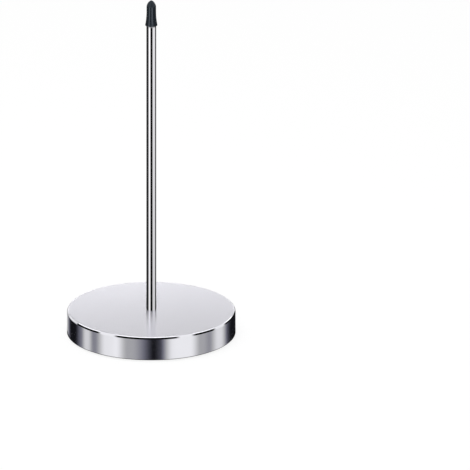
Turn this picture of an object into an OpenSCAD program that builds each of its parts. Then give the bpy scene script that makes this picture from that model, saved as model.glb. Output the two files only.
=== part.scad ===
// Bill spike: a weighted round base, an upright spike for paper slips and a soft cap over its point.
// Millimetres, +Z up. The origin is on the desk, under the middle of the base.

/* [Base] */
// Outside diameter of the pressed steel cover
base_d = 80; // [60:1:110]
// Height of the cover's top face above the desk
base_h = 11.9; // [10:0.1:20]
// Sheet thickness of the cover
cover_t = 0.8; // [0.5:0.1:1.1]
// Outside radius of the bend along the cover's top edge
rim_r = 1.2; // [1.2:0.1:3]
// Height of the cover's cut edge above the desk
foot_gap = 0.4; // [0.2:0.1:0.8]
// Gap all round between the ballast and the cover's wall
ballast_gap = 0.2; // [0.1:0.05:0.5]
// Thickness of the pad that the base stands on
pad_t = 1.5; // [1:0.1:2.4]
// Gap all round between the pad and the cover's wall
pad_gap = 0.5; // [0.3:0.1:1.5]
// Radius of the pad's lower edge
pad_edge_r = 0.4; // [0.2:0.1:0.8]

/* [Spike] */
// Diameter of the spike's shaft
rod_d = 4.75; // [4.6:0.05:8]
// Height of the spike's point above the desk
spike_top = 165.8; // [100:0.1:250]
// Full angle of the ground point
point_angle = 22; // [16:1:36]
// Radius of the blunted end of the point
nose_r = 0.2; // [0.1:0.05:0.4]

/* [Fixing] */
// Nominal diameter of the spike's threaded tail
thread_d = 4; // [3:0.1:4.2]
// Pitch of the thread
thread_pitch = 0.7; // [0.5:0.05:0.8]
// Depth of the thread
thread_depth = 0.43; // [0.3:0.01:0.5]
// Play between the nut's thread and the tail's
thread_play = 0.06; // [0.03:0.01:0.1]
// Play all round the tail in the holes that it passes through
hole_play = 0.1; // [0.05:0.05:0.2]
// Width of the hexagon nut across its flats
nut_af = 7; // [6:0.5:8]
// Height of the nut
nut_h = 3.2; // [2.4:0.1:4]
// Outside diameter of the plain washer
washer_d = 9; // [8:0.5:12]
// Thickness of the plain washer
washer_t = 0.8; // [0.5:0.1:1.2]
// Outside diameter of the spring washer
spring_d = 7.6; // [7:0.1:9]
// Thickness of the spring washer
spring_t = 0.9; // [0.6:0.1:1.2]
// Split in the spring washer, as an angle
spring_split = 14; // [8:1:24]
// Length of tail that stands out below the nut
tail_over = 0.7; // [0.3:0.1:1.2]
// Free height between the tail's end and the pad
tail_room = 0.5; // [0.3:0.1:1]
// Room all round the widest piece of hardware in the ballast's pocket
pocket_room = 1.5; // [0.5:0.5:4]

/* [Cap] */
// Inside diameter of the cap's straight part
cap_bore = 2.94; // [2.4:0.02:3.6]
// Wall of the cap's straight part
cap_wall = 0.8; // [0.6:0.05:1.2]
// Wall of the cap at its mouth, where the point stretches it
cap_lip_t = 0.58; // [0.4:0.02:1]
// Thickness of the cap's closed end
cap_crown = 1.2; // [1:0.1:2]
// Free height between the point and the cap's closed end
tip_room = 0.5; // [0.3:0.1:3]
// Height of the cap's mouth above the start of the ground point
cap_seat = 0.6; // [0:0.1:3]
// Play between the cap's flared mouth and the point
cap_play = 0.1; // [0.05:0.01:0.2]
// Length over which the flare eases into the straight part
flare_ease = 2.4; // [2:0.1:4]
// Length that the cap's rounded end would have if it ran to a point
cap_nose_len = 3.6; // [2.8:0.1:5]
// Radius that blunts the cap's end
cap_nose_r = 0.9; // [0.5:0.1:1.4]

/* [Hidden] */
$fn = 96;
arc_steps = 12;
past = 1; // how far a cut runs past the face that it opens

// Base
cover_in_r = base_d / 2 - cover_t;
cover_under = base_h - cover_t;
bend_in_r = max(rim_r - cover_t, 0.1);

// Spike
rod_r = rod_d / 2;
half_angle = point_angle / 2;
point_len = rod_r / tan(half_angle) - nose_r * (1 / sin(half_angle) - 1);
point_z = spike_top - point_len;

// Hardware, stacked up from the tail's end to the roof of the ballast's pocket
thread_r = thread_d / 2;
tail_z = pad_t + tail_room;
nut_z = tail_z + tail_over;
spring_z = nut_z + nut_h;
washer_z = spring_z + spring_t;
pocket_z = washer_z + washer_t;
nut_corner_r = nut_af / 2 / cos(30);
pocket_r = max(washer_d / 2, spring_d / 2, nut_corner_r) + pocket_room;
thread_turns = floor((pocket_z - tail_z) / thread_pitch);
thread_end = tail_z + thread_turns * thread_pitch;

// Cap
bore_r = cap_bore / 2;
cap_r = bore_r + cap_wall;
mouth_z = point_z + cap_seat;
mouth_r = rod_r - cap_seat * tan(half_angle) + cap_play;
cap_top = spike_top + tip_room + cap_crown;
seat_len = (mouth_r - bore_r) / tan(half_angle);
flare_len = seat_len + flare_ease;
flare_out = mouth_r + cap_lip_t - cap_r;
flare_r = (flare_len * flare_len + flare_out * flare_out) / (2 * flare_out);
ogive_r = (cap_r * cap_r + cap_nose_len * cap_nose_len) / (2 * cap_r);
nose_rise = sqrt(pow(ogive_r - cap_nose_r, 2) - pow(ogive_r - cap_r, 2));
ogive_z = cap_top - cap_nose_r - nose_rise;
ogive_end = atan2(nose_rise, ogive_r - cap_r);

// Points along an arc from one angle to another; an arc that goes on from another leaves out its first point
function arc(centre, r, from, to, first = 0) = [
    for (i = [first : arc_steps])
        let (a = from + (to - from) * i / arc_steps)
        centre + r * [cos(a), sin(a)]
];

// Outline of the thread, as rings from the tail's end up; extra widens it for the nut
function thread_rings(extra) =
    let (crest = thread_r + extra, root = crest - thread_depth)
    concat(
        [[root, tail_z]],
        [for (i = [0 : thread_turns - 1])
            let (z = tail_z + i * thread_pitch)
            each [[root, z + thread_pitch / 8], [crest, z + thread_pitch * 7 / 16],
                  [crest, z + thread_pitch * 9 / 16], [root, z + thread_pitch * 7 / 8]]],
        [[root, thread_end]]
    );

// Half-section of a disc with a rounded upper edge
module rounded_half(r, h, edge_r) {
    square([r - edge_r, h]);
    square([r, h - edge_r]);
    intersection() {
        square([r, h]);
        translate([r - edge_r, h - edge_r]) circle(edge_r);
    }
}

// Ring between two radii, standing on z
module ring(r_in, r_out, z, h) {
    translate([0, 0, z])
        difference() {
            cylinder(r = r_out, h = h);
            translate([0, 0, -past]) cylinder(r = r_in, h = h + 2 * past);
        }
}

// Pressed steel cup with a rounded upper edge, open underneath, pierced for the spike's tail
module base_cover() {
    color("silver")
        rotate_extrude()
            difference() {
                translate([0, foot_gap]) rounded_half(base_d / 2, base_h - foot_gap, rim_r);
                rounded_half(cover_in_r, cover_under, bend_in_r);
                square([thread_r + hole_play, base_h + past]);
            }
}

// Cast disc that fills the cover, with a pocket underneath for the nut
module ballast_disc() {
    color("dimgray")
        rotate_extrude()
            difference() {
                translate([0, pad_t])
                    rounded_half(cover_in_r - ballast_gap, cover_under - pad_t, bend_in_r);
                square([thread_r + hole_play, base_h]);
                square([pocket_r, pocket_z]);
            }
}

// Soft disc glued under the ballast, standing out below the cover
module base_pad() {
    color("black")
        rotate_extrude()
            translate([0, pad_t]) mirror([0, 1])
                rounded_half(cover_in_r - pad_gap, pad_t, pad_edge_r);
}

// Shaft with a ground point above and a threaded tail below; its shoulder rests on the cover
module spike_rod() {
    color("lightgray")
        rotate_extrude()
            polygon(concat(
                [[0, tail_z]],
                thread_rings(0),
                [[thread_r, thread_end], [thread_r, base_h], [rod_r, base_h], [rod_r, point_z]],
                arc([0, spike_top - nose_r], nose_r, half_angle, 90)
            ));
}

module plain_washer() {
    color("gainsboro") ring(thread_r + hole_play, washer_d / 2, washer_z, washer_t);
}

// Split ring, drawn flat as the nut holds it
module spring_washer() {
    spring_in_r = thread_r + hole_play;
    color("darkgray")
        rotate([0, 0, spring_split / 2])
            rotate_extrude(angle = 360 - spring_split)
                translate([spring_in_r, spring_z]) square([spring_d / 2 - spring_in_r, spring_t]);
}

// Hexagon with its corners chamfered at both ends
module hex_nut() {
    face_r = nut_af / 2 * 0.95;
    chamfer_h = (nut_corner_r - face_r) * tan(30);
    color("gainsboro")
        difference() {
            translate([0, 0, nut_z])
                intersection() {
                    cylinder(r = nut_corner_r, h = nut_h, $fn = 6);
                    rotate_extrude()
                        polygon([[0, 0], [face_r, 0], [nut_corner_r, chamfer_h],
                                 [nut_corner_r, nut_h - chamfer_h], [face_r, nut_h], [0, nut_h]]);
                }
            rotate_extrude() polygon(concat([[0, tail_z]], thread_rings(thread_play), [[0, thread_end]]));
        }
}

// Soft sleeve with a bullet end, spread at its mouth by the point that it sits on
module tip_cap() {
    flare_z = mouth_z + flare_len;
    flare_turn = asin(flare_len / flare_r);
    outside = concat(
        arc([cap_r + flare_r, flare_z], flare_r, 180 + flare_turn, 180),
        arc([cap_r - ogive_r, ogive_z], ogive_r, 0, ogive_end),
        arc([0, cap_top - cap_nose_r], cap_nose_r, ogive_end, 90, 1)
    );
    inside = concat(
        arc([0, cap_top - cap_crown - bore_r], bore_r, 90, 0),
        [[bore_r, mouth_z + seat_len], [mouth_r, mouth_z]]
    );
    color("darkslategray") rotate_extrude() polygon(concat(outside, inside));
}

base_cover();
ballast_disc();
base_pad();
spike_rod();
plain_washer();
spring_washer();
hex_nut();
tip_cap();
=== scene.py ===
"""Looks of the bill spike: turned steel and rubber pieces, their materials, a white stage and the camera."""

import math

import bmesh
import bpy
from mathutils import Matrix, Vector


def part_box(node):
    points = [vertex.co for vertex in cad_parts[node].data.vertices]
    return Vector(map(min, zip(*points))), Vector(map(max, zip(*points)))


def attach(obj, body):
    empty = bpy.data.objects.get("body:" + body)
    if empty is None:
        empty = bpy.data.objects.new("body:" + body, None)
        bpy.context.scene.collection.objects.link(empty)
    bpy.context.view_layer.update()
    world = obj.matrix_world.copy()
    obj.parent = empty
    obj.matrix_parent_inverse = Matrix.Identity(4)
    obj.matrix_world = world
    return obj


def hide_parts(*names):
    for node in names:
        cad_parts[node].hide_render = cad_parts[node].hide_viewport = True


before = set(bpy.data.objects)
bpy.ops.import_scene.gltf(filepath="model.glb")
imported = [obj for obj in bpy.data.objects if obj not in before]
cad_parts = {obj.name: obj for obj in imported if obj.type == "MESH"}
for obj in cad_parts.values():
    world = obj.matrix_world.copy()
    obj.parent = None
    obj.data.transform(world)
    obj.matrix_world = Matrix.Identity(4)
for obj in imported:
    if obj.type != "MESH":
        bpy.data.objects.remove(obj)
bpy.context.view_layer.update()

MM = 0.001
WHITE = (1, 1, 1, 1)


def reach_of(node):
    """Lowest height, highest height and radius of a round solid, in millimetres to three places."""
    low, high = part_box(node)
    return round(low.z / MM, 3), round(high.z / MM, 3), round(max(high.x, high.y) / MM, 3)


# Sizes of the turned pieces in millimetres, first those that the boxes of their solids give
FOOT_GAP, BASE_H, BASE_R = reach_of("base_cover")
PAD_T, PAD_R = reach_of("base_pad")[1:]
TAIL_Z, SPIKE_TOP, ROD_R = reach_of("spike_rod")
MOUTH_Z, CAP_TOP = reach_of("tip_cap")[:2]

# Sizes that no box gives, the same as in the solids
COVER_T = 0.8
RIM_R = 1.2
HOLE_R = 2.1
PAD_EDGE_R = 0.4
POINT_HALF_ANGLE = math.radians(11)
NOSE_R = 0.2
THREAD_R = 2.0
THREAD_DEPTH = 0.43
THREAD_PITCH = 0.7
THREAD_TURNS = 8
CAP_BORE_R = 1.47
CAP_WALL = 0.8
CAP_CROWN = 1.2
CAP_LIP_T = 0.58
CAP_SEAT = 0.6
CAP_PLAY = 0.1
CAP_FLARE_EASE = 2.4
CAP_NOSE_LEN = 3.6
CAP_NOSE_R = 0.9

POINT_SLOPE = math.tan(POINT_HALF_ANGLE)
POINT_LEN = ROD_R / POINT_SLOPE - NOSE_R * (1 / math.sin(POINT_HALF_ANGLE) - 1)
POINT_Z = SPIKE_TOP - POINT_LEN

# Edges that are rounded in these meshes alone
CUT_EDGE_R = 0.38
PAD_UPPER_EDGE_R = 0.15
SHOULDER_EDGE = 0.08
LIP_EDGE_R = 0.14

# Places of the extra rings that keep the shading of flat and straight stretches clean
BESIDE_BEND = 0.1
BESIDE_HOLE = 0.6
ABOVE_SHOULDER = 0.3
BELOW_POINT = 0.4
SHAFT_RINGS = 12
POINT_RINGS = (0.1, 2, 4, 6, 8, 9.5)

# Depths under the base's top between which polish turns to the satin finish
SATIN_DEPTHS = (0.24, 0.06)

# Length over which the shaft's polish turns to the marks of the ground point
GROUND_FADE = 0.2

# Range that holds most of a noise's values
NOISE_RANGE = (0.3, 0.7)

# The photograph's pixels and scale, the camera's elevation and distance in mm, and the origin's pixel
PHOTO_PX = 470
PX_PER_MM = 2.1075
CAMERA_ELEVATION = math.radians(19.57)
CAMERA_AWAY = 2000
ORIGIN_PX = (151.3, 333.0)

# Soft boxes to mirror: azimuth of the middle, half width and soft edge in degrees, and strength
LOW_BOXES = (
    (-180, 5, 31, 0.68),
    (-99.5, 2, 11, 0.50),
    (-89.5, 16, 23, 0.28),
    (-58.5, 7, 19, 0.65),
    (-36, 8, 32, 0.45),
    (42, 12, 18, 0.71),
    (71, 4, 14, 0.13),
    (72, 34, 36, 0.32),
    (108, 3, 19, 0.55),
    (180, 0, 12, 0.68),
)
ROD_BOXES = (
    (-140, 45, 12, 0.03),
    (-42.5, 17.5, 8, 1.2),
    (63, 29, 8, 0.9),
    (150, 40, 20, 0.06),
    (-180, 22, 8, 0.9),
    (180, 22, 8, 0.9),
)
CAP_BOXES = ((-44, 7, 10, 2.5), (20, 13, 10, 2.15))
RIM_BOXES = ((-31.7, 4.5, 4, 1.05), (24.4, 3.5, 4.5, 1.05), (55, 4, 4, 1.0))

# Brightness of the rest of what the pieces mirror, where 1 is white
DARK = 0.009
CAP_DARK = 0.2
FILL = 0.75
UNDER = 0.25
BACKDROP_SIDE = 1.0
BACKDROP_MIDDLE = 0.5
OVERHEAD = 1.1
ZENITH = 0.95

# Light on matt surfaces, the tint of the world's darkest parts and the brightness at which it ends
AMBIENT = 0.8
NAVY = (0.9, 0.9, 1.16, 1)
NAVY_END = 0.55

# Elevations in degrees where one part of the mirrored world gives way to the next, and the tops' soft edge
UNDER_FADE = (-60, -38)
HORIZON_FADE = (-8, -3)
BOXES_TOP = 60.0
BACKDROP_TOP = 45.0
TOP_FADE = 8
ZENITH_FADE = (78, 86)

# Azimuths in degrees where the backdrop and its middle begin, and how far it is turned to the right
BACKDROP_FADE = (112, 120)
BACKDROP_MIDDLE_FADE = (148, 166)
BACKDROP_TURN = 12

# Strip cards about the rod and the cap, as (radius, height) in millimetres
STRIPS_IN = (ROD_R + 0.025, BASE_H + 0.05)
STRIPS_OUT = (2000, BASE_H + 10.5)
CAP_STRIPS_IN = (ROD_R + 0.025, MOUTH_Z - 0.13)
CAP_STRIPS_OUT = (150, MOUTH_Z - 0.13)
CARD_SEGMENTS = 96

# Radius at which the rod's card has its full strength, and the share of it that is left at the rod
STRIPS_FULL_R = 400
STRIPS_FOOT = 0.82

# Azimuths in degrees between which a strip card changes from the view in front to the one behind
SIDE_FADE = (85, 125)

# Louvres round the rod's foot, in millimetres, and the least light on them at the streak's foot and end
LOUVRES = 144
LOUVRE_PITCH = 0.1
LOUVRE_IN = ROD_R + 0.035
LOUVRE_OUT = ROD_R + 0.175
LOUVRE_ENDS = (-90, 90)
LOUVRE_SEGMENTS = 64
STREAK_H = 9.6
STREAK_FOOT = 0.3
STREAK_END = 0.95

# Cards close to the base's rim and foot, as (radius, height) in millimetres, and their ends in degrees
RIM_CARD_LOW = (BASE_R + 0.3, BASE_H - 1.12)
RIM_CARD_HIGH = (BASE_R - 0.4, BASE_H - 0.12)
RIM_CARD_ENDS = (-62, 88)
RIM_LIGHT_HIGH = (BASE_R - 0.85, BASE_H + 0.2)
RIM_LIGHT_ENDS = (-61, 76)
# The ring at the foot is a painted shadow: a dark ring that the wall mirrors in place of the shade under the
# base's edge
FOOT_SHADOW_IN = (BASE_R - 1.5, -0.3)
FOOT_SHADOW_OUT = (BASE_R + 1.5, -0.3)

# Brightness of the light card at the rim, and how much it loses at the dark card's gaps
RIM_LIGHT = 1.8
RIM_LIGHT_DIP = 0.62

# Strip light behind the base, in millimetres, and its brightness at the base's left and right
BACK_LIGHT_Y = 300
BACK_LIGHT_HALF_W = 220
BACK_LIGHT_SOFT = 120
BACK_LIGHT_Z = (60, 100)
BACK_LIGHT_LEFT = 2.7
BACK_LIGHT_RIGHT = 2.4

# Floor and lamp, in millimetres and watts, and the share of plain white in the floor that the camera sees
FLOOR_SIZE = 12000
FLOOR_Z = -0.2
FLOOR_TONE = (0.9, 0.9, 0.9, 1)
FLOOR_GLOW = 0.85
LAMP_PLACE = (-150, -100, 900)
LAMP_SIZE = 700
LAMP_POWER = 4


def arc(centre_r, centre_z, radius, start, end, steps):
    """Points along an arc of an outline, with its angles in degrees."""
    points = []
    for i in range(steps + 1):
        angle = math.radians(start + (end - start) * i / steps)
        points.append((centre_r + radius * math.cos(angle), centre_z + radius * math.sin(angle)))
    return points


def turned(name, outline, segments, sharp=30):
    """Mesh turned about Z from (radius, height) points in millimetres.
    An outline that starts on the axis ends there, and any other closes on itself."""
    mesh_builder = bmesh.new()
    rings = []
    for radius, height in outline:
        if radius == 0:
            rings.append([mesh_builder.verts.new((0, 0, height * MM))] * segments)
            continue
        ring = []
        for i in range(segments):
            angle = 2 * math.pi * i / segments
            ring.append(mesh_builder.verts.new(
                (radius * math.cos(angle) * MM, radius * math.sin(angle) * MM, height * MM)))
        rings.append(ring)
    pairs = list(zip(rings, rings[1:]))
    if outline[0][0] > 0:
        pairs.append((rings[-1], rings[0]))
    for lower, upper in pairs:
        for i in range(segments):
            corners = [lower[i], lower[i - segments + 1], upper[i - segments + 1], upper[i]]
            mesh_builder.faces.new(list(dict.fromkeys(corners)))
    bmesh.ops.recalc_face_normals(mesh_builder, faces=mesh_builder.faces)
    mesh = bpy.data.meshes.new(name)
    mesh_builder.to_mesh(mesh)
    mesh_builder.free()
    mesh.shade_smooth()
    mesh.set_sharp_from_angle(angle=math.radians(sharp))
    piece = bpy.data.objects.new(name, mesh)
    bpy.context.scene.collection.objects.link(piece)
    return piece


def cover_outline():
    """Pressed cup: outer wall, rolled rim, top and, inside, the same shape a sheet's thickness in."""
    inner_r = BASE_R - COVER_T
    under = BASE_H - COVER_T
    inner_bend_r = RIM_R - COVER_T
    bend_r = BASE_R - RIM_R
    bend_z = BASE_H - RIM_R
    edge_z = FOOT_GAP + CUT_EDGE_R
    outside = arc(BASE_R - CUT_EDGE_R, edge_z, CUT_EDGE_R, -90, 0, steps=8)
    outside += [(BASE_R, edge_z + BESIDE_BEND), (BASE_R, bend_z - BESIDE_BEND)]
    outside += arc(bend_r, bend_z, RIM_R, 0, 90, steps=24)
    top_radii = (bend_r - BESIDE_BEND, BASE_R / 2, HOLE_R + BESIDE_HOLE, HOLE_R)
    outside += [(radius, BASE_H) for radius in top_radii]
    inside = [(HOLE_R, under), (inner_r - inner_bend_r - BESIDE_BEND, under)]
    inside += arc(inner_r - inner_bend_r, under - inner_bend_r, inner_bend_r, 90, 0, steps=10)
    inside += arc(inner_r + CUT_EDGE_R, edge_z, CUT_EDGE_R, 180, 270, steps=4)
    return outside + inside


def pad_outline():
    """Die-cut disc with softened edges."""
    lower = arc(PAD_R - PAD_EDGE_R, PAD_EDGE_R, PAD_EDGE_R, -90, 0, steps=8)
    upper = arc(PAD_R - PAD_UPPER_EDGE_R, PAD_T - PAD_UPPER_EDGE_R, PAD_UPPER_EDGE_R, 0, 90, steps=4)
    underside = [(0, 0), (BASE_R / 2, 0), (PAD_R - 3 * PAD_EDGE_R, 0)]
    return underside + lower + upper + [(BASE_R / 2, PAD_T), (0, PAD_T)]


def rod_outline():
    """Threaded tail, neck, shoulder, shaft and ground point."""
    root = THREAD_R - THREAD_DEPTH
    points = [(0, TAIL_Z), (root, TAIL_Z)]
    for turn in range(THREAD_TURNS):
        z = TAIL_Z + turn * THREAD_PITCH
        points += [(root, z + THREAD_PITCH / 8), (THREAD_R, z + THREAD_PITCH * 7 / 16),
                   (THREAD_R, z + THREAD_PITCH * 9 / 16), (root, z + THREAD_PITCH * 7 / 8)]
    thread_end = TAIL_Z + THREAD_TURNS * THREAD_PITCH
    points += [(root, thread_end), (THREAD_R, thread_end), (THREAD_R, BASE_H)]
    points += [(ROD_R - SHOULDER_EDGE, BASE_H), (ROD_R, BASE_H + SHOULDER_EDGE)]
    points += [(ROD_R, BASE_H + ABOVE_SHOULDER)]
    points += [(ROD_R, BASE_H + (POINT_Z - BASE_H) * i / SHAFT_RINGS) for i in range(1, SHAFT_RINGS)]
    points += [(ROD_R, POINT_Z - BELOW_POINT), (ROD_R, POINT_Z - BESIDE_BEND)]
    points += [(ROD_R - rise * POINT_SLOPE, POINT_Z + rise) for rise in POINT_RINGS]
    points += arc(0, SPIKE_TOP - NOSE_R, NOSE_R, math.degrees(POINT_HALF_ANGLE), 90, steps=8)
    return points[:-1] + [(0, SPIKE_TOP)]


def cap_outline():
    """Soft sleeve: crown, bore and tapered seat inside; flared lip, straight part and nose outside."""
    mouth_z = POINT_Z + CAP_SEAT
    mouth_r = ROD_R - CAP_SEAT * POINT_SLOPE + CAP_PLAY
    body_r = CAP_BORE_R + CAP_WALL
    seat_len = (mouth_r - CAP_BORE_R) / POINT_SLOPE
    flare_len = seat_len + CAP_FLARE_EASE
    flare_out = mouth_r + CAP_LIP_T - body_r
    flare_r = (flare_len ** 2 + flare_out ** 2) / (2 * flare_out)
    flare_turn = math.degrees(math.asin((flare_len - LIP_EDGE_R) / flare_r))
    ogive_r = (body_r ** 2 + CAP_NOSE_LEN ** 2) / (2 * body_r)
    nose_rise = math.sqrt((ogive_r - CAP_NOSE_R) ** 2 - (ogive_r - body_r) ** 2)
    ogive_z = CAP_TOP - CAP_NOSE_R - nose_rise
    ogive_end = math.degrees(math.atan2(nose_rise, ogive_r - body_r))
    crown_z = CAP_TOP - CAP_CROWN

    bore = arc(0, crown_z - CAP_BORE_R, CAP_BORE_R, 90, 0, steps=12)[1:]
    bore += [(CAP_BORE_R, mouth_z + seat_len)]
    flare = arc(body_r + flare_r, mouth_z + flare_len, flare_r, 180 + flare_turn, 180, steps=28)
    lip_r = flare[0][0]
    lip = arc(mouth_r + LIP_EDGE_R, mouth_z + LIP_EDGE_R, LIP_EDGE_R, 180, 270, steps=6)
    lip += arc(lip_r - LIP_EDGE_R, mouth_z + LIP_EDGE_R, LIP_EDGE_R, -90, -10, steps=6)
    nose = arc(body_r - ogive_r, ogive_z, ogive_r, 0, ogive_end, steps=24)
    nose += arc(0, CAP_TOP - CAP_NOSE_R, CAP_NOSE_R, ogive_end, 90, steps=14)[1:-1]
    return [(0, crown_z)] + bore + lip + flare + nose + [(0, CAP_TOP)]


def add_node(tree, kind, inputs=None, **settings):
    """A node with its settings, and its inputs set to values or linked to sockets."""
    made = tree.nodes.new(kind)
    for key, value in settings.items():
        setattr(made, key, value)
    for key, value in (inputs or {}).items():
        if isinstance(value, bpy.types.NodeSocket):
            tree.links.new(value, made.inputs[key])
        else:
            made.inputs[key].default_value = value
    return made


def calc(tree, operation, a, b=0.0):
    """The result of an operation on one or two numbers."""
    return add_node(tree, "ShaderNodeMath", {0: a, 1: b}, operation=operation).outputs[0]


def ramp(tree, value, low, high, at_low=0.0, at_high=1.0, shape="LINEAR"):
    """A rise from at_low to at_high as the value goes from low to high, level before and after."""
    made = add_node(
        tree, "ShaderNodeMapRange",
        {"Value": value, "From Min": low, "From Max": high, "To Min": at_low, "To Max": at_high},
        interpolation_type=shape)
    return made.outputs["Result"]


def ease(tree, value, low, high, at_low=0.0, at_high=1.0):
    """The same rise with soft ends."""
    return ramp(tree, value, low, high, at_low, at_high, "SMOOTHSTEP")


def blend(tree, factor, a, b):
    """From the number a to the number b."""
    return add_node(tree, "ShaderNodeMix", {0: factor, 2: a, 3: b}).outputs[0]


def mix_colors(tree, factor, a, b):
    """From the colour a to the colour b."""
    mixer = add_node(tree, "ShaderNodeMix", {0: factor, 6: a, 7: b}, data_type="RGBA")
    return mixer.outputs[2]


def noise(tree, place, scale, detail=2.0, roughness=0.5):
    """A cloudy number between 0 and 1."""
    made = add_node(
        tree, "ShaderNodeTexNoise",
        {"Vector": place, "Scale": scale, "Detail": detail, "Roughness": roughness})
    return made.outputs["Fac"]


def object_place(tree):
    """Coordinates that stay with the object, in metres."""
    return tree.nodes.new("ShaderNodeTexCoord").outputs["Object"]


def along(tree, place, axis):
    """One coordinate of a place."""
    return add_node(tree, "ShaderNodeSeparateXYZ", {0: place}).outputs[axis]


def stretched(tree, place, scale):
    """The same coordinates, scaled apart along the axes."""
    made = add_node(tree, "ShaderNodeMapping", {"Vector": place, "Scale": scale})
    return made.outputs["Vector"]


def new_material(name, **sockets):
    """A material, its tree, its Principled shader with those sockets set, and object coordinates."""
    material = bpy.data.materials.new(name)
    material.use_nodes = True
    tree = material.node_tree
    shader = tree.nodes["Principled BSDF"]
    for key, value in sockets.items():
        shader.inputs[key.replace("_", " ")].default_value = value
    return material, tree, shader, object_place(tree)


def bump(tree, shader, height, strength, distance):
    """Relief on the shader's normal, with its distance in metres."""
    made = add_node(
        tree, "ShaderNodeBump", {"Height": height, "Strength": strength, "Distance": distance})
    tree.links.new(made.outputs["Normal"], shader.inputs["Normal"])


def cover_steel():
    """Stainless sheet: a fine hairline finish on top, polished on the rim and wall."""
    material, tree, shader, place = new_material("cover_steel", Metallic=1.0, Anisotropic=0.8)
    across = add_node(tree, "ShaderNodeTangent", direction_type="RADIAL", axis="X")
    tree.links.new(across.outputs["Tangent"], shader.inputs["Tangent"])
    start, full = SATIN_DEPTHS
    satin = ease(tree, along(tree, place, "Z"), (BASE_H - start) * MM, (BASE_H - full) * MM)
    cloud = noise(tree, place, scale=90, detail=3)
    polished = mix_colors(tree, cloud, (0.765, 0.765, 0.805, 1), (0.785, 0.785, 0.825, 1))
    brushed = mix_colors(tree, cloud, (0.755, 0.75, 0.805, 1), (0.775, 0.77, 0.825, 1))
    tree.links.new(mix_colors(tree, satin, polished, brushed), shader.inputs["Base Color"])
    hairline = noise(tree, stretched(tree, place, (500, 8000, 500)), scale=1, detail=3)
    polish = ease(tree, hairline, *NOISE_RANGE, 0.07, 0.10)
    rubbed = ease(tree, hairline, *NOISE_RANGE, 0.20, 0.23)
    tree.links.new(blend(tree, satin, polish, rubbed), shader.inputs["Roughness"])
    bump(tree, shader, calc(tree, "MULTIPLY", hairline, satin), strength=0.1, distance=0.00001)
    return material


def rod_steel():
    """Polished rod with fine drawing marks, and grinding marks round the point."""
    material, tree, shader, place = new_material("rod_steel", Metallic=1.0)
    drawn = noise(tree, stretched(tree, place, (2400, 2400, 25)), scale=1)
    ground = ease(tree, along(tree, place, "Z"), (POINT_Z - GROUND_FADE) * MM, POINT_Z * MM)
    rings = noise(tree, stretched(tree, place, (120, 120, 9000)), scale=1, detail=3)
    shaft_tone = mix_colors(tree, drawn, (0.82, 0.815, 0.84, 1), (0.84, 0.835, 0.86, 1))
    point_tone = mix_colors(tree, rings, (0.36, 0.36, 0.38, 1), (0.56, 0.56, 0.58, 1))
    tree.links.new(mix_colors(tree, ground, shaft_tone, point_tone), shader.inputs["Base Color"])
    shaft_rough = ease(tree, drawn, *NOISE_RANGE, 0.03, 0.045)
    point_rough = ease(tree, rings, *NOISE_RANGE, 0.12, 0.26)
    tree.links.new(blend(tree, ground, shaft_rough, point_rough), shader.inputs["Roughness"])
    bump(tree, shader, calc(tree, "MULTIPLY", rings, ground), strength=0.25, distance=0.00001)
    return material


def cap_rubber():
    """Soft black rubber with a fine moulded grain and a little bloom."""
    material, tree, shader, place = new_material(
        "cap_rubber", Specular_IOR_Level=0.42, Specular_Tint=(0.78, 0.87, 1.0, 1))
    bloom = ease(tree, noise(tree, place, scale=420, detail=4, roughness=0.6), 0.35, 0.75)
    tone = mix_colors(tree, bloom, (0.005, 0.008, 0.012, 1), (0.008, 0.012, 0.017, 1))
    tree.links.new(tone, shader.inputs["Base Color"])
    grain = noise(tree, place, scale=5200)
    tree.links.new(ease(tree, grain, *NOISE_RANGE, 0.16, 0.23), shader.inputs["Roughness"])
    bump(tree, shader, grain, strength=0.2, distance=0.00003)
    return material


def pad_foam():
    """Closed-cell foam: matt black with fine cells."""
    material, tree, shader, place = new_material("pad_foam", Roughness=0.9, Specular_IOR_Level=0.3)
    cells = add_node(tree, "ShaderNodeTexVoronoi", {"Vector": place, "Scale": 2600.0}).outputs["Distance"]
    tone = mix_colors(tree, cells, (0.012, 0.012, 0.013, 1), (0.035, 0.035, 0.037, 1))
    tree.links.new(tone, shader.inputs["Base Color"])
    bump(tree, shader, cells, strength=0.5, distance=0.0001)
    return material


def ballast_iron():
    """Cast iron as it leaves the sand, dark and grainy."""
    material, tree, shader, place = new_material("ballast_iron", Metallic=0.6)
    sand = noise(tree, place, scale=1400, detail=5, roughness=0.65)
    tone = mix_colors(tree, sand, (0.05, 0.05, 0.052, 1), (0.14, 0.135, 0.13, 1))
    tree.links.new(tone, shader.inputs["Base Color"])
    tree.links.new(ease(tree, sand, *NOISE_RANGE, 0.55, 0.8), shader.inputs["Roughness"])
    bump(tree, shader, sand, strength=0.6, distance=0.0002)
    return material


def plated_steel():
    """Zinc plate with a faint blue and straw tint."""
    material, tree, shader, place = new_material("plated_steel", Metallic=1.0)
    cloud = noise(tree, place, scale=500, detail=3)
    tone = mix_colors(tree, cloud, (0.60, 0.62, 0.68, 1), (0.68, 0.67, 0.62, 1))
    tree.links.new(tone, shader.inputs["Base Color"])
    tree.links.new(ease(tree, cloud, *NOISE_RANGE, 0.24, 0.36), shader.inputs["Roughness"])
    bump(tree, shader, noise(tree, place, scale=4000), strength=0.1, distance=0.00002)
    return material


def dress(piece, material, body, node):
    """The piece takes its material, rides its body and stands for its solid."""
    piece.data.materials.append(material)
    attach(piece, body)
    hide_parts(node)


def azimuth_of(tree, place):
    """Degrees round Z from the camera's side, positive to the right."""
    split = add_node(tree, "ShaderNodeSeparateXYZ", {0: place})
    toward_camera = calc(tree, "MULTIPLY", split.outputs["Y"], -1.0)
    return calc(tree, "DEGREES", calc(tree, "ARCTAN2", split.outputs["X"], toward_camera))


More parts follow.
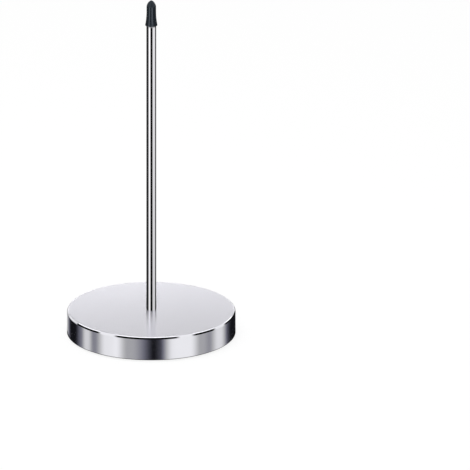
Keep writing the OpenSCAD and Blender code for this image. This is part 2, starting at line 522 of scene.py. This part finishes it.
def band(tree, azimuth, centre, half, soft):
    """1 within half of the centre, easing to 0 over soft, all in degrees of azimuth."""
    away = calc(tree, "ABSOLUTE", calc(tree, "SUBTRACT", azimuth, centre))
    return ease(tree, away, half, half + soft, 1.0, 0.0)


def boxes_around(tree, azimuth, boxes, dark):
    """Brightness of a ring of soft boxes, each (centre, half, soft, strength), over a dark ground."""
    result = dark
    for centre, half, soft, strength in boxes:
        lit = calc(tree, "MULTIPLY", band(tree, azimuth, centre, half, soft), strength)
        result = calc(tree, "ADD", lit, result)
    return result


def studio_world():
    """White to the camera, even light on matt surfaces, and soft boxes and dark flags to mirror."""
    world = bpy.data.worlds.new("studio")
    world.use_nodes = True
    world.cycles.sampling_method = "NONE"
    bpy.context.scene.world = world
    tree = world.node_tree
    way = tree.nodes.new("ShaderNodeTexCoord").outputs["Generated"]
    azimuth = azimuth_of(tree, way)
    elevation = calc(tree, "DEGREES", calc(tree, "ARCSINE", along(tree, way, "Z")))

    low = boxes_around(tree, azimuth, LOW_BOXES, DARK)
    strips = boxes_around(tree, azimuth, ROD_BOXES, DARK)
    floor = calc(tree, "MAXIMUM", strips, UNDER)
    under = blend(tree, ease(tree, elevation, *UNDER_FADE), floor, low)
    ahead = calc(tree, "MAXIMUM", strips, FILL)
    off_front = calc(tree, "ABSOLUTE", calc(tree, "ADD", azimuth, BACKDROP_TURN))
    behind = ease(tree, off_front, *BACKDROP_FADE)
    straight_behind = ease(tree, calc(tree, "ABSOLUTE", azimuth), *BACKDROP_MIDDLE_FADE)
    backdrop = blend(tree, straight_behind, BACKDROP_SIDE, BACKDROP_MIDDLE)
    around = blend(tree, behind, ahead, backdrop)
    ring = blend(tree, ease(tree, elevation, *HORIZON_FADE), under, around)
    ring_top = blend(tree, behind, BOXES_TOP, BACKDROP_TOP)
    above = ease(tree, calc(tree, "SUBTRACT", elevation, ring_top), 0, TOP_FADE)
    overhead = ease(tree, elevation, *ZENITH_FADE, OVERHEAD, ZENITH)
    mirrored = blend(tree, above, ring, overhead)

    path = tree.nodes.new("ShaderNodeLightPath")
    seen = blend(tree, path.outputs["Is Glossy Ray"], AMBIENT, mirrored)
    seen = blend(tree, path.outputs["Is Camera Ray"], seen, 1.0)
    tint = mix_colors(tree, ease(tree, seen, 0.0, NAVY_END), NAVY, WHITE)
    tree.links.new(tint, tree.nodes["Background"].inputs["Color"])
    tree.links.new(seen, tree.nodes["Background"].inputs["Strength"])


def mirrored_only(name, mesh):
    """A stage object whose front gives light to mirrors, and which is otherwise clear.
    Returns its tree and its emission shader."""
    panel = bpy.data.objects.new(name, mesh)
    bpy.context.scene.collection.objects.link(panel)
    panel.visible_camera = False
    panel.visible_diffuse = False
    panel.visible_transmission = False
    panel.visible_volume_scatter = False
    panel.visible_shadow = False
    material = bpy.data.materials.new(name)
    material.use_nodes = True
    material.cycles.emission_sampling = "NONE"
    tree = material.node_tree
    tree.nodes.clear()
    glow = add_node(tree, "ShaderNodeEmission", {"Color": WHITE})
    clear = tree.nodes.new("ShaderNodeBsdfTransparent")
    back = tree.nodes.new("ShaderNodeNewGeometry").outputs["Backfacing"]
    surface = add_node(tree, "ShaderNodeMixShader", {0: back, 1: glow.outputs[0], 2: clear.outputs[0]})
    add_node(tree, "ShaderNodeOutputMaterial", {"Surface": surface.outputs[0]})
    mesh.materials.append(material)
    return tree, glow


def bands_about(name, bands, start=-180, end=180, segments=CARD_SEGMENTS):
    """Mesh of bands about Z, each from one (radius, height) in millimetres to another, between two azimuths
    as in azimuth_of. The front of an upright band that is given from its top down faces Z."""
    points = []
    faces = []
    for ends in bands:
        first = len(points)
        for i in range(segments + 1):
            angle = math.radians(start + (end - start) * i / segments)
            for radius, height in ends:
                points.append((radius * math.sin(angle) * MM, -radius * math.cos(angle) * MM, height * MM))
        for i in range(first, first + 2 * segments, 2):
            faces.append((i, i + 2, i + 3, i + 1))
    mesh = bpy.data.meshes.new(name)
    mesh.from_pydata(points, [], faces)
    return mesh


def rod_azimuth(tree, place):
    """Azimuth in which the rod sends on the rays that pass a place beside it, from in front or behind.
    At radius r and small angles it is the place's own azimuth times 2 r / (2 r - ROD_R)."""
    doubled = stretched(tree, place, (2, 2, 0))
    twice_r = add_node(tree, "ShaderNodeVectorMath", {0: doubled}, operation="LENGTH").outputs["Value"]
    turn = calc(tree, "DIVIDE", twice_r, calc(tree, "SUBTRACT", twice_r, ROD_R * MM))
    azimuth = azimuth_of(tree, place)
    from_front = calc(tree, "ABSOLUTE", azimuth)
    from_back = calc(tree, "SUBTRACT", 180.0, from_front)
    before = calc(tree, "MINIMUM", calc(tree, "MULTIPLY", from_front, turn), 180.0)
    behind = calc(tree, "SUBTRACT", 180.0, calc(tree, "MULTIPLY", from_back, turn))
    sent = blend(tree, ease(tree, from_front, *SIDE_FADE), before, calc(tree, "MAXIMUM", behind, 0.0))
    return calc(tree, "MULTIPLY", calc(tree, "SIGN", azimuth), sent)


def rod_strips():
    """Wide flat card at the height of the base's top. Its upper side has the strip lights and flags that the
    rod mirrors, and the wall below it mirrors the world."""
    mesh = bands_about("rod_strips", [(STRIPS_OUT, STRIPS_IN)])
    tree, glow = mirrored_only("rod_strips", mesh)
    place = object_place(tree)
    strips = boxes_around(tree, rod_azimuth(tree, place), ROD_BOXES, DARK)
    reach = add_node(tree, "ShaderNodeVectorMath", {0: place}, operation="LENGTH").outputs["Value"]
    level = ramp(tree, reach, 0.0, STRIPS_FULL_R * MM, STRIPS_FOOT, 1.0)
    tree.links.new(calc(tree, "MULTIPLY", strips, level), glow.inputs["Strength"])


def cap_strips():
    """Flat card under the cap's mouth. Its upper side has the strip lights that the cap mirrors."""
    mesh = bands_about("cap_strips", [(CAP_STRIPS_OUT, CAP_STRIPS_IN)])
    tree, glow = mirrored_only("cap_strips", mesh)
    strips = boxes_around(tree, rod_azimuth(tree, object_place(tree)), CAP_BOXES, CAP_DARK)
    tree.links.new(strips, glow.inputs["Strength"])


def streak_louvres():
    """The rod's strips under thin louvres close round its foot, which the top mirrors as a streak.
    They fall outward as the camera looks down, and they fade to light over the streak's height."""
    drop = (LOUVRE_OUT - LOUVRE_IN) * math.tan(CAMERA_ELEVATION)
    bands = []
    for i in range(LOUVRES):
        height = BASE_H + LOUVRE_PITCH * (i + 0.5)
        bands.append(((LOUVRE_IN, height + drop), (LOUVRE_OUT, height)))
    mesh = bands_about("streak_louvres", bands, *LOUVRE_ENDS, LOUVRE_SEGMENTS)
    tree, glow = mirrored_only("streak_louvres", mesh)
    place = object_place(tree)
    strips = boxes_around(tree, rod_azimuth(tree, place), ROD_BOXES, DARK)
    height = along(tree, place, "Z")
    fade = ramp(tree, height, BASE_H * MM, (BASE_H + STREAK_H) * MM, STREAK_FOOT, STREAK_END)
    tree.links.new(calc(tree, "MAXIMUM", strips, fade), glow.inputs["Strength"])


def rim_card():
    """Dark card with light gaps, close round the rim's front, which mirrors it as a broken dark line."""
    mesh = bands_about("rim_card", [(RIM_CARD_HIGH, RIM_CARD_LOW)], *RIM_CARD_ENDS)
    tree, glow = mirrored_only("rim_card", mesh)
    strength = boxes_around(tree, azimuth_of(tree, object_place(tree)), RIM_BOXES, DARK)
    tree.links.new(strength, glow.inputs["Strength"])


def rim_light():
    """Light card above the dark one, dimmer at its gaps, which the rim mirrors as a white line."""
    mesh = bands_about("rim_light", [(RIM_LIGHT_HIGH, RIM_CARD_HIGH)], *RIM_LIGHT_ENDS)
    tree, glow = mirrored_only("rim_light", mesh)
    gaps = boxes_around(tree, azimuth_of(tree, object_place(tree)), RIM_BOXES, 0.0)
    strength = calc(tree, "SUBTRACT", RIM_LIGHT, calc(tree, "MULTIPLY", gaps, RIM_LIGHT_DIP))
    tree.links.new(strength, glow.inputs["Strength"])


def foot_shadow_ring():
    """Dark ring just under the floor, below the cover's cut edge, which darkens the wall's lowest line: a
    painted shadow that the wall mirrors in place of the shade under the base.
    """
    mesh = bands_about("foot_shadow_ring", [(FOOT_SHADOW_OUT, FOOT_SHADOW_IN)])
    _, glow = mirrored_only("foot_shadow_ring", mesh)
    glow.inputs["Strength"].default_value = DARK


def back_light():
    """Low strip light behind the base, which makes the satin top brightest at its far edge."""
    half = BACK_LIGHT_HALF_W
    low, high = BACK_LIGHT_Z
    corners = []
    for x, z in ((-half, low), (half, low), (half, high), (-half, high)):
        corners.append((x * MM, BACK_LIGHT_Y * MM, z * MM))
    mesh = bpy.data.meshes.new("back_light")
    mesh.from_pydata(corners, [], [(0, 1, 2, 3)])
    tree, glow = mirrored_only("back_light", mesh)
    across = along(tree, object_place(tree), "X")
    from_middle = calc(tree, "ABSOLUTE", across)
    within = ease(tree, from_middle, (half - BACK_LIGHT_SOFT) * MM, half * MM, 1.0, 0.0)
    level = ease(tree, across, -BASE_R * MM, BASE_R * MM, BACK_LIGHT_LEFT, BACK_LIGHT_RIGHT)
    tree.links.new(calc(tree, "MULTIPLY", within, level), glow.inputs["Strength"])


def white_floor():
    """Pale floor that shows white to the camera and keeps a faint shadow. From below it is clear."""
    bpy.ops.mesh.primitive_plane_add(size=FLOOR_SIZE * MM, location=(0, 0, FLOOR_Z * MM))
    floor = bpy.context.object
    floor.name = "floor"
    floor.visible_glossy = False
    material = bpy.data.materials.new("floor_white")
    material.use_nodes = True
    tree = material.node_tree
    tree.nodes.clear()
    path = tree.nodes.new("ShaderNodeLightPath")
    matt = add_node(tree, "ShaderNodeBsdfDiffuse", {"Color": FLOOR_TONE})
    glow = add_node(tree, "ShaderNodeEmission", {"Color": WHITE, "Strength": 1.0})
    share = calc(tree, "MULTIPLY", path.outputs["Is Camera Ray"], FLOOR_GLOW)
    both = add_node(tree, "ShaderNodeMixShader", {0: share, 1: matt.outputs[0], 2: glow.outputs[0]})
    below = tree.nodes.new("ShaderNodeNewGeometry").outputs["Backfacing"]
    clear = tree.nodes.new("ShaderNodeBsdfTransparent")
    surface = add_node(tree, "ShaderNodeMixShader", {0: below, 1: both.outputs[0], 2: clear.outputs[0]})
    add_node(tree, "ShaderNodeOutputMaterial", {"Surface": surface.outputs[0]})
    floor.data.materials.append(material)


def overhead_light():
    """Large soft lamp that puts a faint shadow under the base."""
    lamp = bpy.data.lights.new("overhead", "AREA")
    lamp.shape = "DISK"
    lamp.size = LAMP_SIZE * MM
    lamp.energy = LAMP_POWER
    holder = bpy.data.objects.new("overhead", lamp)
    holder.location = Vector(LAMP_PLACE) * MM
    holder.rotation_mode = "QUATERNION"
    holder.rotation_quaternion = (-holder.location).to_track_quat("-Z", "Y")
    holder.visible_glossy = False
    bpy.context.scene.collection.objects.link(holder)


def photo_camera():
    """Camera without perspective, placed so that the origin falls on its pixel of the photograph."""
    lens = bpy.data.cameras.new("camera")
    lens.type = "ORTHO"
    lens.ortho_scale = PHOTO_PX / PX_PER_MM * MM
    camera = bpy.data.objects.new("camera", lens)
    back = Vector((0, -math.cos(CAMERA_ELEVATION), math.sin(CAMERA_ELEVATION)))
    up = Vector((0, math.sin(CAMERA_ELEVATION), math.cos(CAMERA_ELEVATION)))
    right = Vector((1, 0, 0))
    across = (PHOTO_PX / 2 - ORIGIN_PX[0]) / PX_PER_MM
    rise = (ORIGIN_PX[1] - PHOTO_PX / 2) / PX_PER_MM
    place = (right * across + up * rise + back * CAMERA_AWAY) * MM
    turn = Matrix((right, up, back)).transposed()
    camera.matrix_world = Matrix.Translation(place) @ turn.to_4x4()
    bpy.context.scene.collection.objects.link(camera)
    bpy.context.scene.camera = camera


cover = turned("cover", cover_outline(), segments=256)
dress(cover, cover_steel(), "base", "base_cover")

pad = turned("pad", pad_outline(), segments=192)
dress(pad, pad_foam(), "base", "base_pad")

rod = turned("rod", rod_outline(), segments=96)
dress(rod, rod_steel(), "base", "spike_rod")

cap = turned("cap", cap_outline(), segments=128, sharp=50)
dress(cap, cap_rubber(), "cap", "tip_cap")

plated = plated_steel()
for name, material in (("ballast_disc", ballast_iron()), ("plain_washer", plated),
                       ("spring_washer", plated), ("hex_nut", plated)):
    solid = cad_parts[name]
    solid.data.materials.clear()
    solid.data.materials.append(material)

studio_world()
rod_strips()
cap_strips()
streak_louvres()
rim_card()
rim_light()
foot_shadow_ring()
back_light()
white_floor()
overhead_light()
photo_camera()
bpy.context.scene.view_settings.view_transform = "Standard"
